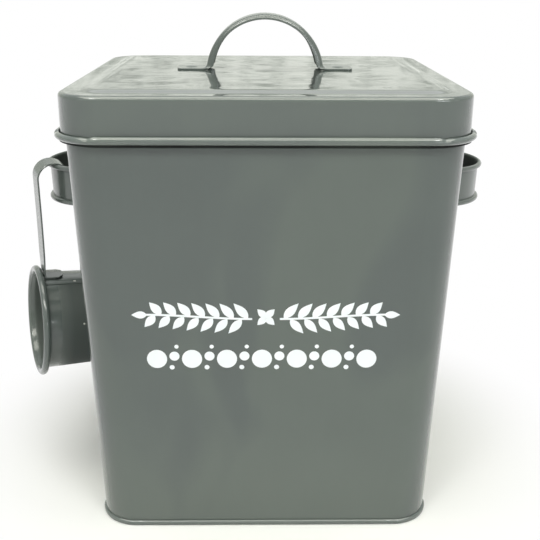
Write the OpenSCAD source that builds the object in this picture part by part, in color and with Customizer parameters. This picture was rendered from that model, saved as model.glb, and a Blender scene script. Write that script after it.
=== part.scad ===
// Laundry powder storage tin: a square sheet-metal tin with a lift-off lid,
// two side handles and a small scoop that hangs on the left one.
// Millimetres, +Z up. The origin is the middle of the base, at the surface it stands on,
// and the front of the tin faces -Y.

/* [Sheet] */
// Thickness of the tin, lid and base sheet
sheet = 0.45; // [0.35:0.05:0.7]
// Thickness of the handle straps and the scoop's strip
strap_sheet = 0.9; // [0.7:0.1:1.3]
// Play left between folded or fitted sheets
fit = 0.05; // [0.02:0.01:0.1]

/* [Lid] */
// Width of the lid over its skirt
lid_w = 200; // [170:1:240]
// Depth of the lid over its skirt
lid_d = 200; // [170:1:240]
// Height of the lid from the edge of its skirt to its border
lid_h = 22.8; // [18:0.5:35]
// Radius of the lid's upright corners
lid_corner_r = 22; // [18:0.5:26]
// Radius of the rounded edge round the lid's top
lid_edge_r = 2.2; // [1.5:0.1:4]
// Width of the flat border round the raised panel
border_w = 10.5; // [8:0.5:12]
// Width of the slope up to the raised panel
slope_w = 2.5; // [1.5:0.5:4]
// Height of the raised panel above the border
panel_h = 1.2; // [0.6:0.1:2.5]
// Height of the fold inside the skirt's edge
hem_h = 5; // [3:0.5:8]

/* [Tin] */
// Height of the tin from the surface it stands on to the ledge under the lid
body_h = 214.5; // [170:0.5:260]
// How far the tin's wall stands in from the lid at the ledge
top_inset = 2.4; // [1.8:0.1:5]
// How far the tin's wall stands in from the lid at the base
base_inset = 8.8; // [6:0.1:16]
// Gap between the lid's skirt and the rolled rim
rim_gap = 0.6; // [0.4:0.1:1.2]
// Thickness of the rolled rim
rim_t = 2.4; // [1.8:0.1:3.2]
// Height of the rolled rim
rim_h = 5.6; // [4.5:0.1:8]
// Gap between the lid's skirt and the ledge it sits on
seat_gap = 0.1; // [0:0.05:0.3]
// Width of the folded seam down the back
seam_w = 6; // [4:0.5:10]

/* [Base] */
// How far the base seam stands out from the wall
base_out = 1.3; // [1.2:0.1:2.5]
// Height of the base seam
base_h = 3; // [2.5:0.1:6]
// How high the base plate stands inside the seam
base_recess = 3.5; // [3.5:0.5:8]

/* [Lid handle] */
// Outer radius of the arch
arch_r = 33.4; // [28:0.2:40]
// Width of the strap
arch_w = 20; // [16:0.5:26]
// Depth of the strap's turned edges
arch_edge = 2.8; // [2:0.1:4]
// Height of the arch's centre below the feet's top face
arch_drop = 3.8; // [1:0.1:6]
// Radius of the bend between the arch and a foot
arch_bend_r = 3; // [2:0.5:6]
// Reach of the handle from its middle to the end of a foot
foot_reach = 49.6; // [47:0.2:60]
// Distance from the handle's middle to a rivet
lid_rivet_x = 42; // [41:0.5:44]
// Radius of a foot's corners
foot_corner_r = 3; // [1:0.5:5]
// How far the handle's middle stands behind the lid's middle
lid_handle_y = 8; // [-10:1:10]

/* [Side handles] */
// Radius of a side handle's strap
loop_r = 30.4; // [26:0.2:34]
// How far the centre of the strap's curve lies inside the wall
loop_inset = 4; // [2:0.5:6]
// Height of the strap between its rolled edges
loop_h = 18; // [14:0.5:24]
// Radius of the rolled edges
loop_bead_r = 1.2; // [1:0.1:1.6]
// How far the handle's middle lies below the ledge under the lid
loop_drop = 33.9; // [25:0.1:60]
// How far the handles stand in front of the tin's middle
loop_y = 8; // [0:1:10]
// Length of the feet along the wall
tab_len = 13; // [11:0.5:16]

/* [Rivets] */
// Diameter of a rivet's shank
rivet_d = 4; // [3:0.5:5]
// Diameter of a rivet's head
rivet_head_d = 6.6; // [6:0.2:8]
// Height of a rivet's head
rivet_head_h = 1.3; // [1:0.1:2]

/* [Scoop] */
// Outer diameter of the cup at its mouth
cup_d = 57.4; // [50:0.2:62]
// Outer diameter of the cup at its base
cup_base_d = 55.6; // [48:0.2:60]
// Depth of the cup from the middle of its rim to its base
cup_l = 32; // [24:0.1:38]
// Radius of the rolled rim round the mouth
cup_rim_r = 2; // [1.5:0.1:3]
// Height of the flange round the cup's base
cup_flange = 2; // [1.5:0.1:3]
// Width of the handle strip
strip_w = 10; // [8:0.5:12]
// Length of the strip's foot along the cup
strip_foot = 11; // [8:0.5:14]
// Outer radius of the hook
hook_r = 10.1; // [8:0.1:12]
// Height from the cup's axis to the top of the hook
hook_top = 97.8; // [85:0.2:110]
// How far the hook turns past its top, in degrees
hook_turn = 70; // [45:1:75]
// Diameter of the hole near the hook's end
hole_d = 3.4; // [2:0.2:4]
// How far the strip leans out from the mouth, in degrees
strip_lean = 4.8; // [2:0.2:6]
// Direction that the scoop swings to, in degrees
scoop_swing = 22.2; // [10:0.1:30]
// Roll of the scoop on the handle, in degrees
scoop_roll = 4.5; // [0:0.5:8]
// Where the hook hangs, in front of the handle's middle
hang_y = 16.5; // [10:0.5:22]
// Gap left where the scoop bears on the handle and on the wall
hang_gap = 0.25; // [0.1:0.05:0.4]

/* [Hidden] */
$fn = 72;
far = 400;

enamel = [0.42, 0.46, 0.44];
enamel_dark = [0.36, 0.40, 0.38];

// Slope of the walls, the same on all four sides
lean = atan((base_inset - top_inset) / body_h);
wall_l = body_h / cos(lean);
// The tin's corners have one centre with the lid's corners, so the gap round the skirt is even
corner_r = lid_corner_r - top_inset;

base_half_w = lid_w / 2 - base_inset;
base_half_d = lid_d / 2 - base_inset;
top_half_w = lid_w / 2 - top_inset;
top_half_d = lid_d / 2 - top_inset;

rim_w = lid_w + 2 * (rim_gap + rim_t);
rim_d = lid_d + 2 * (rim_gap + rim_t);
rim_corner_r = rim_w / 2 - top_half_w + corner_r;
rim_fold_r = 1.1;

base_w = 2 * (base_half_w + base_out);
base_d = 2 * (base_half_d + base_out);
base_corner_r = corner_r + base_out;
base_fold_r = 2 * sheet;

lid_z = body_h + sheet + seat_gap;
lid_top = lid_z + lid_h;
panel_top = lid_top + panel_h;

foot_top = panel_top + strap_sheet;
arch_z = foot_top - arch_drop;
bend_z = foot_top + arch_bend_r;
bend_x = sqrt(pow(arch_r + arch_bend_r, 2) - pow(bend_z - arch_z, 2));
bend_a = atan2(bend_z - arch_z, bend_x);
edge_fade = 16;
arch_steps = 16;
bend_steps = 5;
edge_steps = 4;

loop_z = body_h - loop_drop;
loop_wall = base_half_w + loop_z * tan(lean);
loop_bead_c = loop_r - strap_sheet + loop_bead_r;
loop_end_a = acos((loop_inset + strap_sheet) / loop_r);
tab_start = loop_r * sin(loop_end_a) - 2 * strap_sheet;
tab_end = loop_r * sin(loop_end_a) + tab_len;
tab_h = loop_h - 2 * loop_bead_r - 1;
side_rivet_y = tab_end - tab_h / 2;

cup_r = cup_d / 2;
cup_base_r = cup_base_d / 2;
cup_rim_c = cup_r + cup_rim_r;
lap_t = sheet;
strip_x = cup_rim_r + strap_sheet / 2 + 0.2;
hook_mid_r = hook_r - strap_sheet / 2;
hook_c_z = hook_top - hook_r;
hook_c_x = strip_x - (hook_c_z - cup_r) * tan(strip_lean) + hook_mid_r;

// The hook bears on the rolled edge of the left handle here
bead_top = loop_z + loop_h / 2 * cos(lean) + loop_bead_r;
hang_reach = sqrt(pow(loop_bead_c, 2) - pow(hang_y, 2)) - loop_inset;
hang_x = -(base_half_w + bead_top * tan(lean) + hang_reach);
hang_z = bead_top + hang_gap;

// The scoop tilts in until the edge of its base bears on the wall. That edge stands out from the
// base's middle by a little more the more the scoop tilts, so the tilt is worked out twice
base_off_x = cup_l - hook_c_x;
base_off_z = hook_top - strap_sheet;
base_wall = base_half_w + (hang_z - base_off_z) * tan(lean) + hang_gap;
roll_out = base_off_z * sin(scoop_roll) * sin(scoop_swing);
function base_edge(tilt) = cup_base_r * sin(acos(cos(scoop_swing) * cos(tilt)));
function tilt_for(edge) = acos((roll_out - hang_x - base_wall - edge) / cos(scoop_swing)
    / norm([base_off_x, base_off_z])) - atan2(base_off_z, base_off_x);
scoop_tilt = tilt_for(base_edge(tilt_for(base_edge(0))));

// Turns a section, whose x runs out from the corner centre, round a rectangle with round corners
module ring(w, d, r) {
    for (q = [0:3]) {
        reach = q % 2 == 0 ? [w / 2 - r, d / 2 - r] : [d / 2 - r, w / 2 - r];
        rotate([0, 0, 90 * q]) translate([reach[0], reach[1], 0]) {
            rotate_extrude(angle = 90) children();
            rotate([90, 0, 0]) linear_extrude(2 * reach[1]) children();
        }
    }
}

// A stretch of bent sheet: part of a flat ring from angle a0 to a1, less than half a turn
module bend(r_out, t, a0, a1) {
    mid = (a0 + a1) / 2;
    reach = r_out / cos((a1 - a0) / 4) * 1.05;
    intersection() {
        difference() {
            circle(r_out);
            circle(r_out - t);
        }
        polygon([[0, 0], reach * [cos(a0), sin(a0)], reach * [cos((a0 + mid) / 2), sin((a0 + mid) / 2)],
            reach * [cos(mid), sin(mid)], reach * [cos((mid + a1) / 2), sin((mid + a1) / 2)],
            reach * [cos(a1), sin(a1)]]);
    }
}

// A plate with round corners
module rounded_plate(w, d, r, t) {
    linear_extrude(t) {
        square([w, d - 2 * r], center = true);
        square([w - 2 * r, d], center = true);
        for (x = [-1, 1], y = [-1, 1]) translate([x * (w / 2 - r), y * (d / 2 - r)]) circle(r);
    }
}

// Moves a piece from the face of the right wall, where x runs straight out, to the tin
module on_wall() {
    translate([loop_wall, -loop_y, loop_z]) rotate([0, lean, 0]) children();
}

// A block with leaning sides and round upright corners, longer than the tin at both ends
module leaning_block(r) {
    over = 2;
    hull() for (z = [-over, body_h + over]) {
        x = base_half_w + z * tan(lean) - corner_r;
        y = base_half_d + z * tan(lean) - corner_r;
        for (sx = [-1, 1], sy = [-1, 1]) translate([sx * x, sy * y, z]) cylinder(r = r, h = 0.1);
    }
}

// The wall's flange, turned up inside the base seam
module body_hook() {
    inner = base_corner_r - sheet - fit;
    translate([corner_r - sheet / 2, sheet + fit]) square([inner - corner_r - sheet / 2, sheet]);
    translate([inner - sheet, 2 * sheet + fit]) {
        bend(sheet, sheet, -90, 0);
        square([sheet, base_h - 3 * sheet - fit]);
    }
}

// The ledge that carries the lid, and the rim rolled back over itself outside it
module rim_section() {
    out = rim_corner_r;
    roll = rim_t / 2;
    translate([corner_r - sheet / 2, 0]) square([out - rim_fold_r - corner_r + sheet / 2, sheet]);
    translate([out - rim_fold_r, rim_fold_r]) bend(rim_fold_r, sheet, -90, 0);
    translate([out - sheet, rim_fold_r]) square([sheet, rim_h - roll - rim_fold_r]);
    translate([out - roll, rim_h - roll]) bend(roll, sheet, 0, 90);
    translate([out - roll, rim_h - roll]) bend(roll, sheet, 90, 180);
    translate([out - rim_t, rim_h / 3]) square([sheet, rim_h * 2 / 3 - roll]);
}

module tin_body() {
    color(enamel) {
        difference() {
            leaning_block(corner_r);
            leaning_block(corner_r - sheet);
            for (z = [sheet + fit - far, body_h + sheet])
                translate([-far / 2, -far / 2, z]) cube([far, far, far]);
            for (m = [0, 1]) mirror([m, 0, 0]) on_wall() rivet_holes(-3 * sheet, 6 * sheet, side_rivet_y);
        }
        ring(2 * base_half_w, 2 * base_half_d, corner_r) body_hook();
        translate([0, 0, body_h]) ring(rim_w, rim_d, rim_corner_r) rim_section();
        back_seam();
    }
}

// The folded seam that closes the sheet, flattened against the back wall
module back_seam() {
    foot = base_h + 1;
    translate([0, base_half_d, 0]) rotate([-lean, 0, 0])
        translate([-seam_w / 2, -sheet / 2, foot]) cube([seam_w, sheet * 1.5 + sheet / 2, wall_l - foot - 1]);
}

// The base plate's edge runs down inside the wall and is folded up outside it
module base_section() {
    out = base_corner_r;
    inner = corner_r - sheet - fit;
    translate([inner - sheet, 0]) square([out - base_fold_r - inner + sheet, sheet]);
    translate([inner - sheet, 0]) square([sheet, base_recess + sheet]);
    translate([out - base_fold_r, base_fold_r]) bend(base_fold_r, sheet, -90, 0);
    translate([out - sheet, base_fold_r]) square([sheet, base_h - base_fold_r - sheet / 2]);
    translate([out - sheet / 2, base_h - sheet / 2]) circle(sheet / 2);
}

module base_plate() {
    plate = base_out + sheet + fit;
    color(enamel_dark) {
        ring(base_w, base_d, base_corner_r) base_section();
        translate([0, 0, base_recess])
            rounded_plate(base_w - 2 * plate, base_d - 2 * plate, base_corner_r - plate, sheet);
    }
}

// The strap of a side handle: a strip with both edges rolled outward
module loop_section() {
    translate([loop_r - strap_sheet, -loop_h / 2]) square([strap_sheet, loop_h]);
    for (s = [-1, 1]) translate([loop_bead_c, s * loop_h / 2]) difference() {
        circle(loop_bead_r);
        circle(loop_bead_r / 3);
        mirror([0, s < 0 ? 1 : 0]) polygon([[0, 0], [-loop_bead_r, -loop_bead_r * 2], [0, -loop_bead_r * 2]]);
    }
}

module side_handle() {
    difference() {
        union() {
            translate([-loop_inset, 0, 0]) rotate([0, 0, -90]) rotate_extrude(angle = 180) loop_section();
            for (m = [0, 1]) mirror([0, m, 0]) loop_foot();
        }
        translate([-far, -far / 2, -far / 2]) cube([far, far, far]);
        rivet_holes(-1, strap_sheet + 2, side_rivet_y);
    }
}

// A handle's foot: a flat tongue along the wall with a round end
module loop_foot() {
    rotate([90, 0, 90]) linear_extrude(strap_sheet) {
        translate([tab_start, -tab_h / 2]) square([tab_end - tab_h / 2 - tab_start, tab_h]);
        translate([tab_end - tab_h / 2, 0]) circle(tab_h / 2);
    }
}

module side_handle_right() {
    color(enamel) on_wall() side_handle();
}

module side_handle_left() {
    mirror([1, 0, 0]) side_handle_right();
}

// A pair of rivet holes along x, for the side handles and the wall behind them
module rivet_holes(start, l, y) {
    for (s = [-1, 1]) translate([start, s * y, 0]) rotate([0, 90, 0])
        cylinder(d = rivet_d + 2 * fit, h = l);
}

// A rivet along z with its head above z = 0 and its flattened tail under the sheets below
module rivet(grip) {
    ball_r = (pow(rivet_head_d / 2, 2) + pow(rivet_head_h, 2)) / (2 * rivet_head_h);
    rotate_extrude() {
        intersection() {
            translate([0, rivet_head_h - ball_r]) circle(ball_r);
            square([rivet_head_d, rivet_head_h]);
        }
        translate([0, -grip - sheet]) square([rivet_d / 2, grip + sheet + rivet_head_h / 2]);
        translate([0, -grip - rivet_head_h / 2]) square([rivet_head_d / 2 - 0.4, rivet_head_h / 2]);
    }
}

module side_rivets_right() {
    color(enamel) on_wall() for (s = [-1, 1]) translate([strap_sheet, s * side_rivet_y, 0])
        rotate([0, 90, 0]) rivet(strap_sheet + sheet);
}

module side_rivets_left() {
    mirror([1, 0, 0]) side_rivets_right();
}

// The lid's sheet from the hem at its edge to the raised panel
module lid_section() {
    r = lid_corner_r;
    translate([r - sheet, sheet]) {
        circle(sheet);
        square([sheet, lid_h - lid_edge_r - sheet]);
        translate([-sheet, 0]) square([sheet, hem_h - sheet]);
    }
    translate([r - lid_edge_r, lid_h - lid_edge_r]) bend(lid_edge_r, sheet, 0, 90);
    translate([r - border_w, lid_h - sheet]) square([border_w - lid_edge_r, sheet]);
    polygon([[r - border_w, lid_h], [r - border_w - slope_w, lid_h + panel_h],
        [r - border_w - slope_w, lid_h + panel_h - sheet], [r - border_w, lid_h - sheet]]);
    translate([0, lid_h + panel_h - sheet]) square([r - border_w - slope_w, sheet]);
}

module lid() {
    color(enamel) translate([0, 0, lid_z]) difference() {
        union() {
            ring(lid_w, lid_d, lid_corner_r) lid_section();
            translate([lid_corner_r - lid_w / 2, lid_corner_r - lid_d / 2, lid_h + panel_h - sheet])
                cube([lid_w - 2 * lid_corner_r, lid_d - 2 * lid_corner_r, sheet]);
        }
        for (s = [-1, 1]) translate([s * lid_rivet_x, lid_handle_y, lid_h + panel_h - 2 * sheet])
            cylinder(d = rivet_d + 2 * fit, h = 3 * sheet);
    }
}

// Angle that the strap's edges are turned down by at angle a of the arch: 90, but none at the feet
function edge_turn(a) = let (u = min(1, max(0, (a - bend_a) / edge_fade))) 90 * u * u * (3 - 2 * u);

// A point of a turned edge, at a share of the way to its tip, from where it starts to turn
function edge_point(turn, share) = turn == 0 ? [arch_edge * share, 0]
    : arch_edge / sin(turn) * [sin(turn * share), cos(turn * share) - 1];

// Half the width of a foot at a distance from its end, where its corners are round
function foot_half(s) = let (r = foot_corner_r, c = max(0, r - s)) arch_w / 2 - r + sqrt(r * r - c * c);

// Stations from the middle of the arch to the end of a foot. Each gives a point of the strap's
// upper surface in x and z, the way it faces, the turn of its edges and its half width
function strap_half() = concat(
    [for (i = [0:arch_steps]) let (a = 90 - (90 - bend_a) * i / arch_steps, n = [cos(a), sin(a)])
        [[0, arch_z] + arch_r * n, n, edge_turn(a), arch_w / 2]],
    [for (i = [1:bend_steps]) let (a = 180 + bend_a + (90 - bend_a) * i / bend_steps, n = [cos(a), sin(a)])
        [[bend_x, bend_z] + arch_bend_r * n, -n, 0, arch_w / 2]],
    [for (i = [0:bend_steps]) let (s = foot_corner_r * (1 - sin(90 * i / bend_steps)))
        [[foot_reach - s, foot_top], [0, 1], 0, foot_half(s)]]);

// The strap's outline across its width at one station, over the top and back underneath
function strap_ring(st) = let (
    turn = st[2],
    shares = [for (i = [0:edge_steps]) i / edge_steps],
    top = [for (f = shares) [st[3] - arch_edge, 0] + edge_point(turn, f)],
    under = [for (i = [0:edge_steps]) top[i] - strap_sheet * [sin(turn * shares[i]), cos(turn * shares[i])]],
    over = concat([for (i = [edge_steps:-1:0]) top[i]], [for (q = top) [-q[0], q[1]]]),
    back = concat([for (i = [edge_steps:-1:0]) [-under[i][0], under[i][1]]], under))
    [for (q = concat(over, back)) [st[0][0] + st[1][0] * q[1], q[0], st[0][1] + st[1][1] * q[1]]];

// One sheet-metal strap from foot to foot, swept through its stations
module strap() {
    right = strap_half();
    last = len(right) - 1;
    left = [for (i = [last:-1:1]) let (st = right[i])
        [[-st[0][0], st[0][1]], [-st[1][0], st[1][1]], st[2], st[3]]];
    stations = concat(left, right);
    n = 4 * (edge_steps + 1);
    ends = n * (len(stations) - 1);
    polyhedron([for (st = stations) each strap_ring(st)], concat(
        [for (k = [0:len(stations) - 2], i = [0:n - 1]) let (a = k * n + i, b = k * n + (i + 1) % n)
            each [[a, a + n, b], [b, a + n, b + n]]],
        [for (i = [0:n / 2 - 2]) each [[i, i + 1, n - 2 - i], [i, n - 2 - i, n - 1 - i]]],
        [for (i = [0:n / 2 - 2]) each [[ends + i, ends + n - 2 - i, ends + i + 1],
            [ends + i, ends + n - 1 - i, ends + n - 2 - i]]]));
}

module lid_handle() {
    color(enamel) translate([0, lid_handle_y, 0]) difference() {
        strap();
        for (s = [-1, 1]) translate([s * lid_rivet_x, 0, panel_top - 1])
            cylinder(d = rivet_d + 2 * fit, h = strap_sheet + 2);
    }
}

module lid_rivets() {
    color(enamel) for (s = [-1, 1]) translate([s * lid_rivet_x, lid_handle_y, foot_top])
        rivet(strap_sheet + sheet);
}

// Moves the scoop, drawn with its cup along x and its mouth at x = 0, to where it hangs
module hung() {
    translate([hang_x, -loop_y - hang_y, hang_z]) rotate([0, 0, scoop_swing])
        rotate([0, scoop_tilt, 0]) rotate([scoop_roll, 0, 0])
            translate([-hook_c_x, 0, strap_sheet - hook_top]) children();
}

// Turns what is drawn along z, such as a revolved form, to run along the cup
module along_cup() {
    rotate([0, 90, 0]) children();
}

module scoop_cup() {
    color(enamel) hung() {
        along_cup() rotate_extrude() {
            polygon([[cup_r - sheet, 0], [cup_r, 0], [cup_base_r, cup_l], [cup_base_r - sheet, cup_l]]);
            translate([cup_rim_c, 0]) {
                bend(cup_rim_r, sheet, -180, -90);
                bend(cup_rim_r, sheet, -90, 0);
                bend(cup_rim_r, sheet, 0, 70);
            }
            translate([cup_r - sheet, 0]) square([sheet * 1.2, cup_rim_r / 2]);
        }
        cup_lap();
    }
}

// The lapped seam under the strip's foot, where the cup's sheet overlaps itself
module cup_lap() {
    lap_turn = 22;
    slack = cup_rim_r + 0.6;
    slope = (cup_r - cup_base_r) / cup_l;
    along_cup() rotate([0, 0, 180 - lap_turn / 2]) rotate_extrude(angle = lap_turn) polygon([
        [cup_r - slope * slack - sheet / 2, slack], [cup_r - slope * slack + lap_t, slack],
        [cup_base_r + slope + lap_t, cup_l - 1], [cup_base_r + slope - sheet / 2, cup_l - 1]]);
}

module scoop_base() {
    inner = cup_base_r - sheet - fit;
    color(enamel_dark) hung() along_cup() rotate_extrude() {
        translate([0, cup_l - cup_flange]) square([inner - sheet, sheet]);
        translate([inner - sheet, cup_l - cup_flange]) square([sheet, cup_flange]);
    }
}

// Side view of the strip: a foot along the cup, the upright and the hook
module strip_profile() {
    t = strap_sheet;
    seat = cup_r + lap_t + fit;
    translate([strip_x - t / 2, seat]) square([strip_foot, t]);
    polygon([[strip_x - t / 2, seat], [strip_x + t / 2, seat],
        [hook_c_x - hook_mid_r + t / 2, hook_c_z], [hook_c_x - hook_mid_r - t / 2, hook_c_z]]);
    translate([hook_c_x, hook_c_z]) {
        bend(hook_r, t, 90, 180);
        bend(hook_r, t, 90 - hook_turn, 90);
    }
}

module scoop_handle() {
    hole_a = 90 - hook_turn + 16;
    color(enamel) hung() difference() {
        rotate([90, 0, 0]) linear_extrude(strip_w, center = true) strip_profile();
        translate([hook_c_x, 0, hook_c_z]) rotate([0, 90 - hole_a, 0]) translate([0, 0, hook_r - 3])
            cylinder(d = hole_d, h = 5);
    }
}

tin_body();
base_plate();
side_handle_left();
side_handle_right();
side_rivets_left();
side_rivets_right();
lid();
lid_handle();
lid_rivets();
scoop_cup();
scoop_base();
scoop_handle();
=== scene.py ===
from math import acos, atan, atan2, cos, degrees, exp, hypot, pi, radians, sin, sqrt, tan

import bpy
from mathutils import Matrix, Vector, noise


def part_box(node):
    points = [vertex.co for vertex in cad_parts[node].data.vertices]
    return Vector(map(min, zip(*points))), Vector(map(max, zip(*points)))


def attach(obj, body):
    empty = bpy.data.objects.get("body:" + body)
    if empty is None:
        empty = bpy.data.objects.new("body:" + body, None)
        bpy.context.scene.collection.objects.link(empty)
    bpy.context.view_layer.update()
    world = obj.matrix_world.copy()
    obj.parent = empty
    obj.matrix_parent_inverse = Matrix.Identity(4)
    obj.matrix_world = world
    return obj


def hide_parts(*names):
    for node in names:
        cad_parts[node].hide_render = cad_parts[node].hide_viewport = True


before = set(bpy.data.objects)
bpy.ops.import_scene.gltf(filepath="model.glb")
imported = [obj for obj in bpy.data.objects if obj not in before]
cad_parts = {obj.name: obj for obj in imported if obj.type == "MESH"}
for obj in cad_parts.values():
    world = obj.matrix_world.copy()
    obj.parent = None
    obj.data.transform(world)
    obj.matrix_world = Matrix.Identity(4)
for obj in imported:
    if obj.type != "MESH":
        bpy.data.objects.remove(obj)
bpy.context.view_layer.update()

# Sizes, in millimetres, as the sheet metal is cut and bent
MM = 0.001
SHEET = 0.45
STRAP_SHEET = 0.9
LID_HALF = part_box("lid")[1].x / MM
LID_CORNER = 22.0
LID_EDGE = 2.2
BORDER = 10.5
SLOPE = 2.5
PANEL_RISE = 1.2
HEM = 5.0
BODY_H = 214.5
TOP_HALF = LID_HALF - 2.4
BASE_HALF = LID_HALF - 8.8
CORNER = LID_CORNER - 2.4
RIM_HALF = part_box("tin_body")[1].x / MM
RIM_T = 2.4
# Painted shade: how dark the colour is painted in creases and under the rim's ledge
CREVICE_SHADE = -6.0
SEAM_OUT = 1.3
SEAM_H = 3.0
RECESS = 3.5
LID_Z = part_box("lid")[0].z / MM
PANEL_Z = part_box("lid")[1].z / MM
BORDER_Z = PANEL_Z - PANEL_RISE
CENTRE = LID_HALF - LID_CORNER
LEAN = atan((TOP_HALF - BASE_HALF) / BODY_H)

# Lid handle
ARCH_R = 33.4
ARCH_W = 20.0
ARCH_EDGE = 2.8
ARCH_DROP = 3.8
FOOT_BEND = 3.0
FOOT_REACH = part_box("lid_handle")[1].x / MM
FOOT_CORNER = 3.0
LID_RIVET_X = 42.0
LID_HANDLE_Y = 8.0

# Side handles
LOOP_R = 30.4
LOOP_INSET = 4.0
LOOP_H = 18.0
LOOP_BEAD = 1.2
ROLL_R = 1.4
LOOP_Z = 180.6
LOOP_Y = 8.0
TAB_LEN = 13.0

# Rivets
RIVET_D = 6.6
RIVET_H = 0.7

# Scoop, and the way it hangs
CUP_R = 28.7
CUP_BASE_R = 27.8
CUP_L = 32.0
CUP_RIM = 2.0
CUP_FLANGE = 2.0
STRIP_W = 12.2
STRIP_FOOT = 11.0
HOOK_R = 10.1
HOOK_TOP = 97.8
HOOK_TURN = 70.0
HOOK_IN = 0.8
HOOK_TIP = 8.0
HOLE_D = 3.4
STRIP_LEAN = 4.8
STRIP_TWIST = -3.5
SWING = 22.2
ROLL = 4.5
HANG_Y = 16.5
HANG_GAP = 0.25


def smooth(x):
    """Goes from 0 to 1 softly as x does."""
    x = min(1.0, max(0.0, x))
    return x * x * (3 - 2 * x)


# Node tools


def link(tree, source, target):
    tree.links.new(source, target)


def add(tree, kind, **values):
    node = tree.nodes.new(kind)
    for name, value in values.items():
        if name in node.inputs:
            node.inputs[name].default_value = value
        else:
            setattr(node, name, value)
    return node


def group(name, inputs, outputs):
    """A shader node group with float sockets, and its input and output nodes."""
    tree = bpy.data.node_groups.new(name, "ShaderNodeTree")
    for label, kind, value in inputs:
        socket = tree.interface.new_socket(label, in_out="INPUT", socket_type=kind)
        socket.default_value = value
    for label, kind in outputs:
        tree.interface.new_socket(label, in_out="OUTPUT", socket_type=kind)
    return tree, tree.nodes.new("NodeGroupInput"), tree.nodes.new("NodeGroupOutput")


FLOAT = "NodeSocketFloat"
COLOR = "NodeSocketColor"
VECTOR = "NodeSocketVector"


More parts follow.
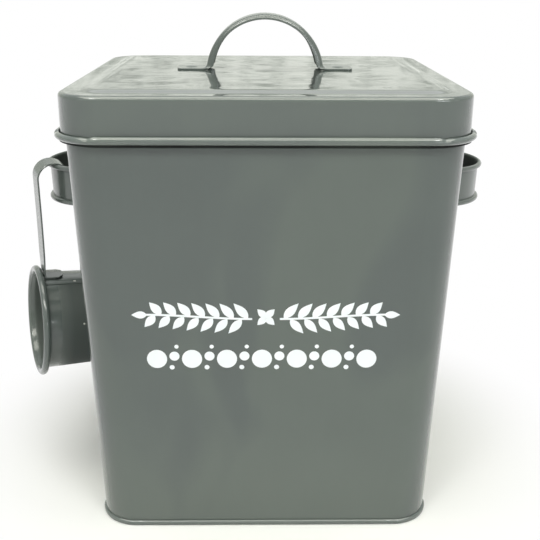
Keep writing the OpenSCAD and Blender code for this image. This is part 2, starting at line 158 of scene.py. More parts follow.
def enamel_flow_group():
    """Colour and gloss of sprayed enamel: it pools a little, so both drift over the surface. Deep in
    the folds, where the painted-light value is below 0 and Open goes to 0, the colour is painted shade,
    dark, and the gloss dull; where the value is above 0 the colour is a painted highlight, a little
    lighter. The clouds are a painted reflection: soft lighter and darker banks with a shift of hue."""
    tree, given, out = group(
        "enamel_flow",
        [("Vector", VECTOR, (0, 0, 0)), ("Color", COLOR, (0.15, 0.18, 0.165, 1)),
         ("Drift", FLOAT, 0.05), ("Reflection clouds", FLOAT, 0.1), ("Roughness", FLOAT, 0.25), ("Painted light", FLOAT, 0.0)],
        [("Color", COLOR), ("Roughness", FLOAT), ("Open", FLOAT)])
    open_part = add(tree, "ShaderNodeMath", operation="MULTIPLY_ADD", use_clamp=True)
    link(tree, given.outputs["Painted light"], open_part.inputs[0])
    open_part.inputs[1].default_value = 0.25
    open_part.inputs[2].default_value = 1.0
    link(tree, open_part.outputs[0], out.inputs["Open"])
    pools = add(tree, "ShaderNodeTexNoise", Scale=22.0, Detail=3.0, Roughness=0.55)
    haze = add(tree, "ShaderNodeTexNoise", Scale=210.0, Detail=4.0, Roughness=0.6)
    runs = add(tree, "ShaderNodeVectorMath", operation="MULTIPLY")
    link(tree, given.outputs["Vector"], runs.inputs[0])
    runs.inputs[1].default_value = (1, 1, 0.12)
    link(tree, runs.outputs[0], haze.inputs["Vector"])
    link(tree, given.outputs["Vector"], pools.inputs["Vector"])
    mixed = add(tree, "ShaderNodeMath", operation="MULTIPLY_ADD")
    link(tree, haze.outputs["Fac"], mixed.inputs[0])
    mixed.inputs[1].default_value = 0.35
    link(tree, pools.outputs["Fac"], mixed.inputs[2])
    centred = add(tree, "ShaderNodeMath", operation="SUBTRACT")
    link(tree, mixed.outputs[0], centred.inputs[0])
    centred.inputs[1].default_value = 0.675
    drift = add(tree, "ShaderNodeMath", operation="MULTIPLY")
    link(tree, centred.outputs[0], drift.inputs[0])
    link(tree, given.outputs["Drift"], drift.inputs[1])
    # Painted light: the value goes down where the painted-light input is below 0, painted shade in the folds, and
    # up where it is above 0, a painted highlight
    lifted = add(tree, "ShaderNodeMath", operation="MULTIPLY_ADD")
    link(tree, given.outputs["Painted light"], lifted.inputs[0])
    lifted.inputs[1].default_value = 0.14
    link(tree, drift.outputs[0], lifted.inputs[2])
    # Painted reflection: soft lighter and darker banks, stretched up the walls, with a shift of hue, that stand in
    # for the room seen in the gloss
    tall = add(tree, "ShaderNodeVectorMath", operation="MULTIPLY")
    link(tree, given.outputs["Vector"], tall.inputs[0])
    tall.inputs[1].default_value = (1, 1, 0.55)
    reflection_clouds = add(tree, "ShaderNodeTexNoise", Scale=11.0, Detail=2.5, Roughness=0.45, Distortion=1.1)
    link(tree, tall.outputs[0], reflection_clouds.inputs["Vector"])
    banks = add(tree, "ShaderNodeMapRange", interpolation_type="SMOOTHSTEP")
    link(tree, reflection_clouds.outputs["Fac"], banks.inputs["Value"])
    for label, level in (("From Min", 0.42), ("From Max", 0.56), ("To Min", -0.5), ("To Max", 0.5)):
        banks.inputs[label].default_value = level
    spread = add(tree, "ShaderNodeMath", operation="MULTIPLY")
    link(tree, banks.outputs["Result"], spread.inputs[0])
    link(tree, given.outputs["Reflection clouds"], spread.inputs[1])
    rest = add(tree, "ShaderNodeMath", operation="ADD")
    link(tree, spread.outputs[0], rest.inputs[0])
    rest.inputs[1].default_value = 1.0
    value = add(tree, "ShaderNodeMath", operation="ADD")
    link(tree, lifted.outputs[0], value.inputs[0])
    link(tree, rest.outputs[0], value.inputs[1])
    hue = add(tree, "ShaderNodeMath", operation="MULTIPLY_ADD")
    link(tree, spread.outputs[0], hue.inputs[0])
    hue.inputs[1].default_value = -0.3
    hue.inputs[2].default_value = 0.5
    tint = add(tree, "ShaderNodeHueSaturation")
    link(tree, hue.outputs[0], tint.inputs["Hue"])
    link(tree, value.outputs[0], tint.inputs["Value"])
    link(tree, given.outputs["Color"], tint.inputs["Color"])
    link(tree, tint.outputs["Color"], out.inputs["Color"])
    gloss = add(tree, "ShaderNodeMath", operation="MULTIPLY_ADD", use_clamp=True)
    link(tree, centred.outputs[0], gloss.inputs[0])
    gloss.inputs[1].default_value = 0.06
    link(tree, given.outputs["Roughness"], gloss.inputs[2])
    shut = add(tree, "ShaderNodeMath", operation="SUBTRACT")
    shut.inputs[0].default_value = 1.0
    link(tree, open_part.outputs[0], shut.inputs[1])
    dull = add(tree, "ShaderNodeMath", operation="ADD", use_clamp=True)
    link(tree, gloss.outputs[0], dull.inputs[0])
    link(tree, shut.outputs[0], dull.inputs[1])
    link(tree, dull.outputs[0], out.inputs["Roughness"])
    return tree


def sheet_ripple_group():
    """Height of thin sheet that isn't quite flat, with the fine orange peel of the enamel on it."""
    tree, given, out = group(
        "sheet_ripple",
        [("Vector", VECTOR, (0, 0, 0)), ("Wave length", FLOAT, 0.05), ("Peel size", FLOAT, 0.0012),
         ("Peel share", FLOAT, 0.02), ("Streak", FLOAT, 1.0)],
        [("Height", FLOAT)])
    stretched = add(tree, "ShaderNodeCombineXYZ", X=1.0, Z=1.0)
    link(tree, given.outputs["Streak"], stretched.inputs["Y"])
    scaled = add(tree, "ShaderNodeVectorMath", operation="MULTIPLY")
    link(tree, given.outputs["Vector"], scaled.inputs[0])
    link(tree, stretched.outputs[0], scaled.inputs[1])
    scales = []
    for label in ("Wave length", "Peel size"):
        inverse = add(tree, "ShaderNodeMath", operation="DIVIDE")
        inverse.inputs[0].default_value = 1.0
        link(tree, given.outputs[label], inverse.inputs[1])
        scales.append(inverse)
    waves = add(tree, "ShaderNodeTexNoise", Detail=2.0, Roughness=0.45)
    link(tree, scaled.outputs[0], waves.inputs["Vector"])
    link(tree, scales[0].outputs[0], waves.inputs["Scale"])
    peel = add(tree, "ShaderNodeTexNoise", Detail=1.0, Roughness=0.5)
    link(tree, given.outputs["Vector"], peel.inputs["Vector"])
    link(tree, scales[1].outputs[0], peel.inputs["Scale"])
    height = add(tree, "ShaderNodeMath", operation="MULTIPLY_ADD")
    link(tree, peel.outputs["Fac"], height.inputs[0])
    link(tree, given.outputs["Peel share"], height.inputs[1])
    link(tree, waves.outputs["Fac"], height.inputs[2])
    link(tree, height.outputs[0], out.inputs["Height"])
    return tree


def scuffs_group():
    """Few small marks: dots and short nicks in some of the cells of a Voronoi pattern."""
    tree, given, out = group(
        "scuffs",
        [("Vector", VECTOR, (0, 0, 0)), ("Spacing", FLOAT, 0.008), ("Size", FLOAT, 0.07),
         ("Share", FLOAT, 0.05)],
        [("Mask", FLOAT)])
    inverse = add(tree, "ShaderNodeMath", operation="DIVIDE")
    inverse.inputs[0].default_value = 1.0
    link(tree, given.outputs["Spacing"], inverse.inputs[1])
    bent = add(tree, "ShaderNodeTexNoise", Scale=900.0, Detail=1.0)
    link(tree, given.outputs["Vector"], bent.inputs["Vector"])
    shifted = add(tree, "ShaderNodeVectorMath", operation="MULTIPLY_ADD")
    link(tree, bent.outputs["Color"], shifted.inputs[0])
    shifted.inputs[1].default_value = (0.0011, 0.0011, 0.0011)
    link(tree, given.outputs["Vector"], shifted.inputs[2])
    cells = add(tree, "ShaderNodeTexVoronoi")
    link(tree, shifted.outputs[0], cells.inputs["Vector"])
    link(tree, inverse.outputs[0], cells.inputs["Scale"])
    near = add(tree, "ShaderNodeMath", operation="LESS_THAN")
    link(tree, cells.outputs["Distance"], near.inputs[0])
    link(tree, given.outputs["Size"], near.inputs[1])
    kind = add(tree, "ShaderNodeSeparateColor")
    link(tree, cells.outputs["Color"], kind.inputs["Color"])
    chosen = add(tree, "ShaderNodeMath", operation="LESS_THAN")
    link(tree, kind.outputs["Red"], chosen.inputs[0])
    link(tree, given.outputs["Share"], chosen.inputs[1])
    both = add(tree, "ShaderNodeMath", operation="MULTIPLY")
    link(tree, near.outputs[0], both.inputs[0])
    link(tree, chosen.outputs[0], both.inputs[1])
    link(tree, both.outputs[0], out.inputs["Mask"])
    return tree


ENAMEL_FLOW = enamel_flow_group()
SHEET_RIPPLE = sheet_ripple_group()
SCUFFS = scuffs_group()


def new_material(name):
    made = bpy.data.materials.new(name)
    made.use_nodes = True
    shader = made.node_tree.nodes["Principled BSDF"]
    return made, made.node_tree, shader


def enamel(name, color, roughness=0.13, drift=0.1, reflection_clouds=0.06, wave=0.05, depth=0.0004, streak=1.0,
           marks=0.0, gloss=0.5, coat_roughness=0.04):
    """Stoved enamel on sheet metal. depth is the height of the sheet's ripple, in metres, and marks
    the share of places with a small pale mark."""
    made, tree, shader = new_material(name)
    place = add(tree, "ShaderNodeTexCoord")
    # The edge attribute is painted light: painted shade below 0, a painted highlight above 0
    edge = add(tree, "ShaderNodeAttribute", attribute_name="edge")
    flow = add(tree, "ShaderNodeGroup", node_tree=ENAMEL_FLOW)
    flow.inputs["Color"].default_value = (*color, 1)
    flow.inputs["Drift"].default_value = drift
    flow.inputs["Reflection clouds"].default_value = reflection_clouds
    flow.inputs["Roughness"].default_value = roughness
    ripple = add(tree, "ShaderNodeGroup", node_tree=SHEET_RIPPLE)
    ripple.inputs["Wave length"].default_value = wave
    ripple.inputs["Streak"].default_value = streak
    for effect in (flow, ripple):
        link(tree, place.outputs["Object"], effect.inputs["Vector"])
    link(tree, edge.outputs["Fac"], flow.inputs["Painted light"])
    if marks:
        scuffs = add(tree, "ShaderNodeGroup", node_tree=SCUFFS)
        scuffs.inputs["Share"].default_value = marks
        link(tree, place.outputs["Object"], scuffs.inputs["Vector"])
        worn = add(tree, "ShaderNodeMix", data_type="RGBA")
        link(tree, scuffs.outputs["Mask"], worn.inputs["Factor"])
        link(tree, flow.outputs["Color"], worn.inputs[6])
        worn.inputs[7].default_value = (0.62, 0.64, 0.6, 1)
        link(tree, worn.outputs[2], shader.inputs["Base Color"])
    else:
        link(tree, flow.outputs["Color"], shader.inputs["Base Color"])
    link(tree, flow.outputs["Roughness"], shader.inputs["Roughness"])
    bump = add(tree, "ShaderNodeBump", Strength=1.0, Distance=depth)
    link(tree, ripple.outputs["Height"], bump.inputs["Height"])
    link(tree, bump.outputs["Normal"], shader.inputs["Normal"])
    shader.inputs["IOR"].default_value = 1.52
    coat = add(tree, "ShaderNodeMath", operation="MULTIPLY")
    link(tree, flow.outputs["Open"], coat.inputs[0])
    coat.inputs[1].default_value = gloss
    thick = add(tree, "ShaderNodeMath", operation="MULTIPLY_ADD", use_clamp=True)
    link(tree, edge.outputs["Fac"], thick.inputs[0])
    thick.inputs[1].default_value = 0.5
    link(tree, coat.outputs[0], thick.inputs[2])
    link(tree, thick.outputs[0], shader.inputs["Coat Weight"])
    shader.inputs["Coat Roughness"].default_value = coat_roughness
    return made


def print_material():
    """White screen print: a thin, slightly dull film."""
    made, tree, shader = new_material("screen_print_white")
    place = add(tree, "ShaderNodeTexCoord")
    flow = add(tree, "ShaderNodeGroup", node_tree=ENAMEL_FLOW)
    flow.inputs["Color"].default_value = (0.84, 0.88, 0.93, 1)
    flow.inputs["Drift"].default_value = 0.03
    flow.inputs["Reflection clouds"].default_value = 0.0
    flow.inputs["Roughness"].default_value = 0.42
    link(tree, place.outputs["Object"], flow.inputs["Vector"])
    link(tree, flow.outputs["Color"], shader.inputs["Base Color"])
    link(tree, flow.outputs["Roughness"], shader.inputs["Roughness"])
    return made


GREY_GREEN = (0.086, 0.105, 0.097)
BODY_ENAMEL = enamel("body_enamel", GREY_GREEN, reflection_clouds=0.17, wave=0.07, depth=0.0004, streak=0.6, marks=0.008)
LID_ENAMEL = enamel("lid_enamel", GREY_GREEN, roughness=0.09, wave=0.022, depth=0.0006, gloss=0.7,
                    coat_roughness=0.03)
HANDLE_ENAMEL = enamel("handle_enamel", GREY_GREEN, roughness=0.3, wave=0.012, depth=0.00002, gloss=0.8,
                       coat_roughness=0.2)
SCOOP_ENAMEL = enamel("scoop_enamel", (0.098, 0.118, 0.110), roughness=0.22, reflection_clouds=0.16, wave=0.02,
                      depth=0.00012, marks=0.35)
BASE_ENAMEL = enamel("base_enamel", GREY_GREEN, wave=0.04, depth=0.00015)
PRINT = print_material()


# Mesh tools


def piece(name, verts, faces, material, body, nodes=(), slot="enamel", edge=None, crease=35):
    """A finished piece from points in millimetres. edge gives, for each point, painted light: painted shade
    below 0 and a painted highlight above 0.
    """
    mesh = bpy.data.meshes.new(name)
    mesh.from_pydata([Vector(v) * MM for v in verts], [], faces)
    mesh.validate()
    mesh.shade_smooth()
    mesh.set_sharp_from_angle(angle=radians(crease))
    mask = mesh.attributes.new("edge", "FLOAT", "POINT")
    mask.data.foreach_set("value", edge if edge else [0.0] * len(mesh.vertices))
    mesh.materials.append(material)
    made = bpy.data.objects.new(name, mesh)
    bpy.context.scene.collection.objects.link(made)
    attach(made, body)
    if nodes:
        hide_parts(*nodes)
    return made


def grid(rows, closed_rows, closed_ring):
    """Points and faces of a skin through rows of points."""
    n = len(rows[0])
    verts = [p for row in rows for p in row]
    faces = []
    for i in range(len(rows) if closed_rows else len(rows) - 1):
        j = (i + 1) % len(rows)
        for k in range(n if closed_ring else n - 1):
            m = (k + 1) % n
            faces.append((i * n + k, i * n + m, j * n + m, j * n + k))
    return verts, faces


def joined(*parts):
    """Several lots of points and faces as one."""
    verts, faces = [], []
    for part_verts, part_faces in parts:
        shift = len(verts)
        verts += part_verts
        faces += [tuple(i + shift for i in f) for f in part_faces]
    return verts, faces


def closed_tube(rows):
    """A skin through rings of points, with a cap on the first ring and on the last."""
    verts, faces = grid(rows, False, True)
    n = len(rows[0])
    return verts, faces + [tuple(reversed(range(n))), tuple(range(len(verts) - n, len(verts)))]


def turned(profile, steps, place):
    """A revolved skin round Z from (radius, height) points that form a closed outline."""
    rows = [[Vector((r * cos(2 * pi * k / steps), r * sin(2 * pi * k / steps), z)) for k in range(steps)]
            for r, z in profile]
    verts, faces = grid(rows, True, True)
    return [place @ v for v in verts], faces


def arc(cx, cy, r, a0, a1, steps):
    """Points along an arc, with both ends. Angles are in degrees."""
    return [(cx + r * cos(radians(a0 + (a1 - a0) * i / steps)), cy + r * sin(radians(a0 + (a1 - a0) * i / steps)))
            for i in range(steps + 1)]


# Rings round the square tin


STRAIGHT_STOPS = [0, 0.4, 0.8, 1.2, 1.7, 2.3, 3.0, 4.0, 5.5, 8, 11, 15, 20, 26, 33, 41, 50, 59, 68]
CORNER_STOPS = [0, 2.5, 5, 6.5, 8, 9.5, 11, 12.5, 14, 16, 19, 22.5, 26.5, 31, 35.5, 40]


def stations():
    """Places round a rounded square: the share of the corner centre's x and y, the way that the
    surface faces there, and the distance from the nearest corner's start, less than 0 inside it."""
    found = []
    run = 2 * CENTRE
    along = STRAIGHT_STOPS + [CENTRE] + [run - stop for stop in reversed(STRAIGHT_STOPS[1:])]
    around = CORNER_STOPS + [45] + [90 - stop for stop in reversed(CORNER_STOPS[1:])]
    for q in range(4):
        turn = Matrix.Rotation(q * pi / 2, 2)
        for a in [radians(stop) for stop in around]:
            depth = LID_CORNER * min(a, pi / 2 - a)
            found.append((turn @ Vector((1, 1)), turn @ Vector((cos(a), sin(a))), -depth))
        for stop in along:
            found.append((turn @ Vector((1 - 2 * stop / run, 1)), turn @ Vector((0, 1)), min(stop, run - stop)))
    return found


STATIONS = stations()


def ring(centre, r, z):
    """One ring: points at a distance r round corner centres that lie centre from the middle."""
    return [Vector((k.x * centre + n.x * r, k.y * centre + n.y * r, z)) for k, n, s in STATIONS]


def wall_ring(z, inset=0.0):
    return ring(BASE_HALF + z * tan(LEAN) - CORNER, CORNER - inset, z)


def disc_rows(centre, r, z, steps):
    """Rings that fill a flat rounded square, from a tiny one in the middle outwards."""
    tiny = 0.004
    shares = [tiny + (1 - tiny) * i / steps for i in range(steps)]
    return [ring(centre * share, r * share, z) for share in shares]


def bell(x):
    """1 where x is 0, and soon 0 on both sides of it."""
    return exp(-x * x)


def ripple(x, y, z, size):
    """Smooth noise from -1 to 1 over a length of size."""
    return noise.noise(Vector((x, y, z)) / size)


# The tin


def rim_outline():
    """Section of the rolled rim, from under the ledge, round the bead and down inside it, as
    distances from the corner centre and heights above the ledge."""
    out = RIM_HALF - CENTRE
    r, crest_r, low = 2.0, 0.4, 1.0
    high = low + 2 * r
    bead = arc(out - r, low + r, r, -90, 90, 20)
    crest = arc(out - RIM_T + crest_r, high - crest_r, crest_r, 90, 180, 4)[1:]
    return bead + crest + [(out - RIM_T, high * 0.45), (out - RIM_T, SHEET + 0.3)]


def pinched(out, height, s):
    """The rim's section at a station: lower and rounder in the corners, with a dimple where the
    straight run meets the corner."""
    corner = 1 - smooth((s + 6.0) / 4.0)
    dimple = bell((s + 4.8) / 1.7)
    rise = smooth((height - 1.5) / 3.0)
    return out - 0.12 * dimple * rise, height - (0.5 * corner + 0.35 * dimple) * rise


def wall_wave(x, y, z, s):
    """How far the thin wall bows out at a point, at a distance s from the corner."""
    hold = smooth(z / 30) * smooth((BODY_H - z) / 25) * smooth(s / 25)
    return hold * (0.28 * ripple(x, y, z * 0.5, 60) - 0.05)


def tin_body():
    outer_z = [1.2, 3.1, 3.6, 8, 14] + [22 + 12 * i for i in range(16)] + [208, 211.5]
    rows, edge = [], []
    for z in outer_z:
        rows.append(wall_ring(z))
        # Painted shade on the wall just above the base seam
        edge.append(CREVICE_SHADE / 2 if z < 3.5 else 0.0)
    # Painted shade on the top of the wall under the rim's ledge
    for z, inset, dark in [(213.3, 0.0, 0.0), (213.7, 0.1, -2.0), (214.0, 0.6, CREVICE_SHADE), (BODY_H, 0.4, CREVICE_SHADE)]:
        rows.append(wall_ring(z, inset))
        edge.append(dark)
    # Painted shade on the ledge under the bead
    for o, z in [(RIM_HALF - CENTRE - 2.4, BODY_H), (RIM_HALF - CENTRE - 2.1, BODY_H + 0.5)]:
        rows.append(ring(CENTRE, o, z))
        edge.append(CREVICE_SHADE)
    for out, height in rim_outline():
        ring_points = []
        for k, n, s in STATIONS:
            o, h = pinched(out, height, s)
            ring_points.append(Vector((k.x * CENTRE + n.x * o, k.y * CENTRE + n.y * o, BODY_H + h)))
        rows.append(ring_points)
        # Painted shade at the foot of the bead, and a painted highlight, a little lighter, on the rest of it
        edge.append(CREVICE_SHADE + (1 - CREVICE_SHADE) * smooth((height - 1.0) / 0.35))
    rows.append(ring(CENTRE, CORNER + 1.2, BODY_H + SHEET))
    rows.append(ring(CENTRE, CORNER - SHEET - 0.6, BODY_H + SHEET - 0.1))
    rows.append(wall_ring(213.4, SHEET + 0.6))
    for z in reversed(outer_z):
        rows.append(wall_ring(z, SHEET))
    edge += [0.0] * (3 + len(outer_z))
    for row in rows[:len(outer_z)] + rows[-len(outer_z):]:
        for p, (k, n, s) in zip(row, STATIONS):
            p += Vector((n.x, n.y, 0)) * wall_wave(p.x, p.y, p.z, s)
    verts, faces = grid(rows, True, True)
    weights = [e for e in edge for k in range(len(STATIONS))]
    return piece("tin_shell", verts, faces, BODY_ENAMEL, "tin", ["tin_body"], edge=weights)


def back_seam():
    """The folded seam: a flat strip on the back wall with a step at each side."""
    half, t, low, high = 3.0, SHEET * 1.5, SEAM_H + 1, BODY_H - 1
    section = [(-half, -0.1), (-half, t - 0.15), (-half + 0.15, t), (half - 1.0, t), (half - 0.7, t * 0.7),
               (half, t * 0.7), (half, -0.1)]
    rows = []
    for i in range(25):
        z = low + (high - low) * i / 24
        y = BASE_HALF + z * tan(LEAN)
        rows.append([Vector((x, y + d, z)) for x, d in section])
    return piece("tin_back_seam", *closed_tube(rows), BODY_ENAMEL, "tin")


def base_plate():
    """The base: a seam folded up outside the wall, and a panel that stands above the surface."""
    out = CORNER + SEAM_OUT
    inner = CORNER - SHEET - 0.05
    c = BASE_HALF - CORNER
    fold = 1.25
    outline = [(inner - SHEET, RECESS), (inner - SHEET, 0.4)] + [(inner - SHEET + 0.3, 0.0)]
    outline += arc(out - fold, fold, fold, -90, 0, 8)
    outline += arc(out - fold, SEAM_H - fold, fold, 0, 115, 9)
    outline += [(CORNER + 0.02, SEAM_H - 0.25), (CORNER - 0.1, 1.4), (inner, 0.8), (inner, RECESS + SHEET)]
    seam_rows = [ring(c, o, z) for o, z in outline]
    for row in seam_rows:
        for p, (k, n, s) in zip(row, STATIONS):
            nick = 0.28 * bell((s - 1.5) / 1.6) * smooth((p.z - 1.2) / 1.5)
            p -= Vector((n.x, n.y, 0)) * nick
    below, above = (disc_rows(c, inner - SHEET, z, 14) for z in (RECESS, RECESS + SHEET))
    rows = below + seam_rows + above[::-1]
    verts, faces = closed_tube(rows)
    # Painted highlight: the top of the seam is painted a little lighter
    edge = [1.0 if p.z > SEAM_H - 1.4 else 0.0 for p in verts]
    return piece("base_pan", verts, faces, BASE_ENAMEL, "tin", ["base_plate"], "base_enamel", edge)


# The lid


def lid_outline():
    """Section of the lid from the edge of the raised panel, down the skirt and up inside."""
    r = LID_CORNER
    top, panel = BORDER_Z, PANEL_Z
    start = r - BORDER - SLOPE
    over = [(start - 3 + (SLOPE + 5) * i / 10, panel - PANEL_RISE * smooth(i / 10)) for i in range(11)]
    over += [(r - LID_EDGE - 2.5, top), (r - LID_EDGE - 0.6, top)]
    over += arc(r - LID_EDGE, top - LID_EDGE, LID_EDGE, 90, 0, 10)
    skirt = [(r, top - LID_EDGE - 1.0)] + [(r, LID_Z + 2 + (top - LID_EDGE - 4 - LID_Z) * i / 6)
                                           for i in range(6, -1, -1)]
    hem = arc(r - SHEET, LID_Z + SHEET, SHEET, 0, -180, 6) + [(r - 2 * SHEET, LID_Z + HEM),
                                                              (r - 1.05 * SHEET, LID_Z + HEM + 0.2)]
    inside = [(r - SHEET, top - LID_EDGE)] + arc(r - LID_EDGE, top - LID_EDGE, LID_EDGE - SHEET, 10, 90, 5)
    under = [(r - BORDER, top - SHEET), (start, panel - SHEET)]
    return over, skirt + hem + inside + under


def lid():
    over, rest = lid_outline()
    c = CENTRE
    edge_r = over[0][0]
    above, below = (disc_rows(c, edge_r, z, 26) for z in (PANEL_Z, PANEL_Z - SHEET))
    rows = above + [ring(c, o, z) for o, z in over + rest] + below[::-1]
    half = c + edge_r
    for row in rows:
        for p in row:
            if p.z > BORDER_Z - SHEET - 0.01 and max(abs(p.x), abs(p.y)) < LID_HALF - LID_EDGE:
                inside = smooth((half - max(abs(p.x), abs(p.y))) / 14)
                seat = smooth((abs(abs(p.x) - LID_RIVET_X) + abs(p.y - LID_HANDLE_Y) - 12) / 14)
                wave = 0.16 * ripple(p.x, p.y * 1.3, 3.0, 30) + 0.10 * ripple(p.x, p.y, 9.0, 14)
                p.z += (wave - 0.12) * inside * seat
    for row in rows:
        for p, (k, n, s) in zip(row, STATIONS):
            if p.z < BORDER_Z - 3:
                hold = smooth(s / 20) * smooth((p.z - LID_Z - 1) / 6) * smooth((BORDER_Z - p.z - 2.5) / 5)
                p -= Vector((n.x, n.y, 0)) * hold * (0.12 + 0.12 * ripple(p.x, p.y, p.z, 45))
    verts, faces = closed_tube(rows)
    # Painted highlight: the bend at the lid's edge is painted a little lighter
    edge = [1.0 if BORDER_Z - LID_EDGE < p.z < BORDER_Z - 0.1 and max(abs(p.x), abs(p.y)) > 98.5 else 0.0
            for p in verts]
    return piece("lid_shell", verts, faces, LID_ENAMEL, "lid", ["lid"], edge=edge)


# The lid's handle


def strap_stations():
    """Places along the strap from its middle to the end of a foot: a point of the upper surface,
    the way it faces, how far its edges are turned down, in degrees, its half width and the depth of
    its edges."""
    foot_top = PANEL_Z + STRAP_SHEET
    arch_z = foot_top - ARCH_DROP
    bend_z = foot_top + FOOT_BEND
    bend_x = sqrt((ARCH_R + FOOT_BEND) ** 2 - (bend_z - arch_z) ** 2)
    bend_a = degrees(atan2(bend_z - arch_z, bend_x))
    found = []
    for i in range(41):
        a = radians(90 - (90 - bend_a) * i / 40)
        n = Vector((cos(a), sin(a)))
        depth = ARCH_EDGE + 0.9 * smooth((55 - degrees(a)) / 35)
        found.append((Vector((0, arch_z)) + ARCH_R * n, n, 90.0, ARCH_W / 2, depth))
    for i in range(1, 11):
        a = radians(180 + bend_a + (90 - bend_a) * i / 10)
        n = Vector((cos(a), sin(a)))
        turn = 90 * (1 - smooth(i / 9))
        depth = ARCH_EDGE + 0.9 * (1 - smooth(i / 5))
        found.append((Vector((bend_x, bend_z)) + FOOT_BEND * n, -n, turn, ARCH_W / 2, depth))
    for x in (bend_x + 2, LID_RIVET_X, FOOT_REACH - FOOT_CORNER - 1):
        found.append((Vector((x, foot_top)), Vector((0, 1)), 0.0, ARCH_W / 2, ARCH_EDGE))
    for i in range(9):
        s = FOOT_CORNER * (1 - sin(pi / 2 * i / 8))
        half = ARCH_W / 2 - FOOT_CORNER + sqrt(FOOT_CORNER ** 2 - max(0, FOOT_CORNER - s) ** 2)
        found.append((Vector((FOOT_REACH - s, foot_top)), Vector((0, 1)), 0.0, half, ARCH_EDGE))
    return found


def edge_point(turn, share, depth):
    """A point of a turned edge at a share of the way to its tip, and the way it faces."""
    face = Vector((sin(radians(turn * share)), cos(radians(turn * share))))
    if turn < 0.5:
        return Vector((ARCH_EDGE * share, 0)), face
    r = ARCH_EDGE / sin(radians(turn))
    return Vector((r * face.x, r * (face.y - 1) * depth / ARCH_EDGE)), face


def strap_ring(station):
    p, n, turn, half, depth = station
    shares = [i / 8 for i in range(9)]
    top, under = [], []
    for share in shares:
        q, face = edge_point(turn, share, depth)
        q = q + Vector((half - ARCH_EDGE, 0))
        top.append(q)
        under.append(q - STRAP_SHEET * face)
    tip = (top[-1] + under[-1]) / 2 + Vector((cos(radians(turn)), -sin(radians(turn)))) * 0.18
    outline = [tip] + list(reversed(top)) + [Vector((x, 0)) for x in (half * 0.4, 0, -half * 0.4)]
    outline += [Vector((-q.x, q.y)) for q in top] + [Vector((-tip.x, tip.y))]
    outline += [Vector((-q.x, q.y)) for q in reversed(under)]
    outline += [Vector((x, -STRAP_SHEET)) for x in (-half * 0.4, 0, half * 0.4)] + under
    return [Vector((p.x + n.x * q.y, q.x + LID_HANDLE_Y, p.y + n.y * q.y)) for q in outline]


def lid_handle():
    right = strap_stations()
    left = [(Vector((-p.x, p.y)), Vector((-n.x, n.y)), turn, half, depth)
            for p, n, turn, half, depth in reversed(right[1:])]
    rows = [strap_ring(station) for station in left + right]
    return piece("lid_handle_strap", *closed_tube(rows), HANDLE_ENAMEL, "lid", ["lid_handle"], crease=50)


def rivet_head():
    """Outline of a domed head that runs out into a thin rim, with the shank below."""
    r, h = RIVET_D / 2, RIVET_H
    dome = [(0.01, h), (r * 0.25, h * 0.97), (r * 0.5, h * 0.85), (r * 0.75, h * 0.6), (r * 0.92, h * 0.28),
            (r, h * 0.06), (r, 0.0)]
    return dome + [(2.0, 0.0), (2.0, -1.4), (r * 0.85, -1.42), (r * 0.85, -1.9), (0.01, -2.0)]


def rivets(name, places, body, node):
    verts, faces = joined(*[turned(rivet_head(), 28, place) for place in places])
    return piece(name, verts, faces, HANDLE_ENAMEL, body, [node], crease=50)


def lid_rivets():
    places = [Matrix.Translation((s * LID_RIVET_X, LID_HANDLE_Y, PANEL_Z + STRAP_SHEET)) for s in (-1, 1)]
    return rivets("lid_handle_rivets", places, "lid", "lid_rivets")


# The side handles


def wall_place(side):
    """Moves from the face of a side wall, where x runs out of it, to the tin."""
    half = BASE_HALF + LOOP_Z * tan(LEAN)
    mirror = Matrix.Scale(side, 4, (1, 0, 0))
    return mirror @ Matrix.Translation((half, -LOOP_Y, LOOP_Z)) @ Matrix.Rotation(LEAN, 4, "Y")


def loop_path():
    """Places along a side handle in plan, from its middle to the end of a foot: a point of the
    inner face, the way out from it, the radius of the rolled edge and the half height."""
    inner = LOOP_R - STRAP_SHEET - 2 * (ROLL_R - LOOP_BEAD)
    end_a = degrees(acos((LOOP_INSET + STRAP_SHEET + 1.2) / inner))
    found = []
    full = LOOP_H / 2
    tab_half = LOOP_H / 2 - LOOP_BEAD - 0.5
    for i in range(37):
        a = radians(end_a * i / 36)
        n = Vector((cos(a), sin(a)))
        bead = ROLL_R - (ROLL_R - 0.45) * smooth((degrees(a) - end_a + 12) / 14)
        half = full - (full - tab_half) * smooth((degrees(a) - end_a + 9) / 10)
        found.append((Vector((-LOOP_INSET, 0)) + inner * n, n, bead, half))
    last, n_last = found[-1][0], found[-1][1]
    tab_end = LOOP_R * sin(acos((LOOP_INSET + STRAP_SHEET) / LOOP_R)) + TAB_LEN
    bend_end = last.y + 1.8
    for i in range(1, 7):
        t = i / 6
        n = Vector((cos(radians(end_a * (1 - t))), sin(radians(end_a * (1 - t)))))
        point = Vector((last.x * (1 - smooth(t)), last.y + 1.8 * t))
        found.append((point, n, 0.45, tab_half))
    straight_end = tab_end - tab_half
    for i in range(1, 4):
        found.append((Vector((0, bend_end + (straight_end - bend_end) * i / 3)), Vector((1, 0)), 0.45, tab_half))
    for i in range(1, 11):
        a = pi / 2 * i / 10
        half = max(0.5, tab_half * cos(a))
        found.append((Vector((0, straight_end + tab_half * sin(a))), Vector((1, 0)), 0.45, half))
    return found


